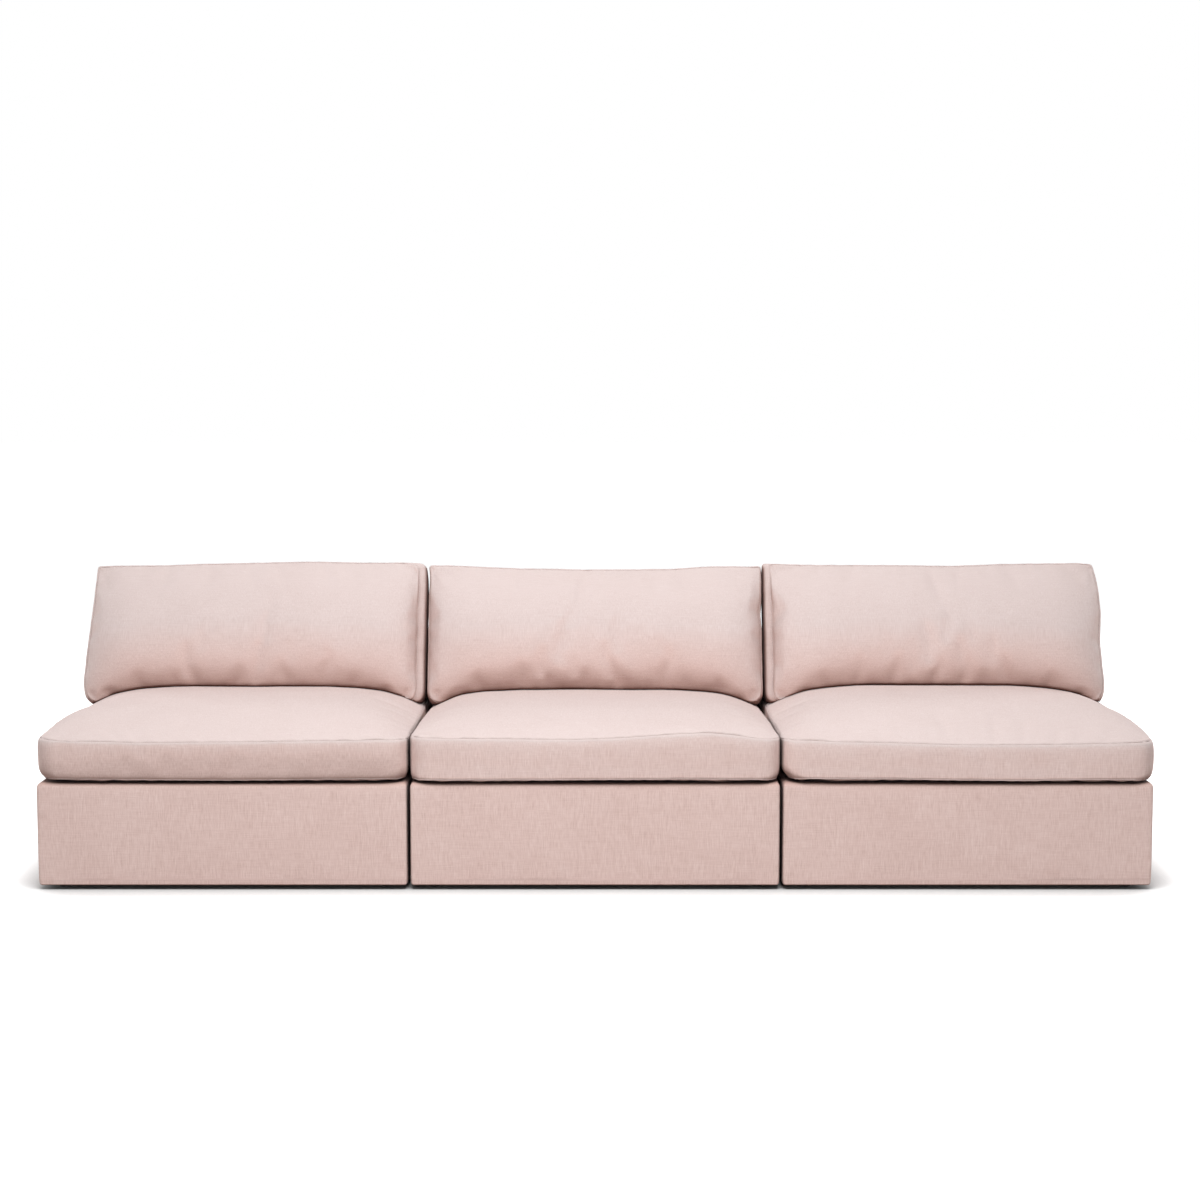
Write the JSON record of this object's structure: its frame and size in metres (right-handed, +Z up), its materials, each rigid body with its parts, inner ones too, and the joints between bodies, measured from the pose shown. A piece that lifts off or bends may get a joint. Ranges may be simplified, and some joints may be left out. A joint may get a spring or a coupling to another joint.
{
  "type": "armless sofa",
  "caption": "Armless modular sofa: upholstered box bases with low backs, loose crowned seat cushions and leaning back cushions.",
  "frame": {"origin": "middle of the sofa's outline on the floor, under its glides", "axes": "+X along the sofa, to the right seen from the front; the front faces -Y; +Z is up"},
  "size_m": [2.891, 0.965, 0.7712],
  "materials": {
    "linen": "matte",
    "foam": "matte",
    "pad_felt": "matte",
    "webbing": "matte",
    "black_cloth": "matte",
    "timber": "matte",
    "glide_nylon": "satin",
    "steel": "satin"
  },
  "bodies": {
    "middle_module": {"middle_front_rail": "timber", "middle_rear_rail": "timber", "middle_side_rails": "timber", "middle_seat_braces": "timber", "middle_back_posts": "timber", "middle_back_rails": "timber", "middle_seat_webbing": "webbing", "middle_back_webbing": "webbing", "middle_deck_pad": "pad_felt", "middle_base_cover": "linen", "middle_back_cover": "linen", "middle_dust_cover": "black_cloth", "middle_glides": "glide_nylon", "middle_tongues": "steel", "middle_screws": "steel"},
    "left_module": {"left_front_rail": "timber", "left_rear_rail": "timber", "left_side_rails": "timber", "left_seat_braces": "timber", "left_back_posts": "timber", "left_back_rails": "timber", "left_seat_webbing": "webbing", "left_back_webbing": "webbing", "left_deck_pad": "pad_felt", "left_base_cover": "linen", "left_back_cover": "linen", "left_dust_cover": "black_cloth", "left_glides": "glide_nylon", "left_keepers": "steel", "left_screws": "steel"},
    "right_module": {"right_front_rail": "timber", "right_rear_rail": "timber", "right_side_rails": "timber", "right_seat_braces": "timber", "right_back_posts": "timber", "right_back_rails": "timber", "right_seat_webbing": "webbing", "right_back_webbing": "webbing", "right_deck_pad": "pad_felt", "right_base_cover": "linen", "right_back_cover": "linen", "right_dust_cover": "black_cloth", "right_glides": "glide_nylon", "right_keepers": "steel", "right_screws": "steel"},
    "left_seat": {"left_seat_cushion": "linen", "left_seat_cushion_core": "foam"},
    "left_back": {"left_back_cushion": "linen", "left_back_cushion_core": "foam"},
    "middle_seat": {"middle_seat_cushion": "linen", "middle_seat_cushion_core": "foam"},
    "middle_back": {"middle_back_cushion": "linen", "middle_back_cushion_core": "foam"},
    "right_seat": {"right_seat_cushion": "linen", "right_seat_cushion_core": "foam"},
    "right_back": {"right_back_cushion": "linen", "right_back_cushion_core": "foam"}
  },
  "joints": [
    {"name": "left_module_slide", "type": "slide", "parent": "middle_module", "child": "left_module", "axis": [-1, 0, 0], "range_m": [0, 0.3]},
    {"name": "right_module_slide", "type": "slide", "parent": "middle_module", "child": "right_module", "axis": [1, 0, 0], "range_m": [0, 0.3]},
    {"name": "left_seat_slide", "type": "slide", "parent": "left_module", "child": "left_seat", "axis": [0, -1, 0], "range_m": [0, 0.85]},
    {"name": "left_back_lift", "type": "slide", "parent": "left_module", "child": "left_back", "axis": [0, 0, 1], "range_m": [0, 0.4]},
    {"name": "middle_seat_slide", "type": "slide", "parent": "middle_module", "child": "middle_seat", "axis": [0, -1, 0], "range_m": [0, 0.85]},
    {"name": "middle_back_lift", "type": "slide", "parent": "middle_module", "child": "middle_back", "axis": [0, 0, 1], "range_m": [0, 0.4]},
    {"name": "right_seat_slide", "type": "slide", "parent": "right_module", "child": "right_seat", "axis": [0, -1, 0], "range_m": [0, 0.85]},
    {"name": "right_back_lift", "type": "slide", "parent": "right_module", "child": "right_back", "axis": [0, 0, 1], "range_m": [0, 0.4]}
  ]
}
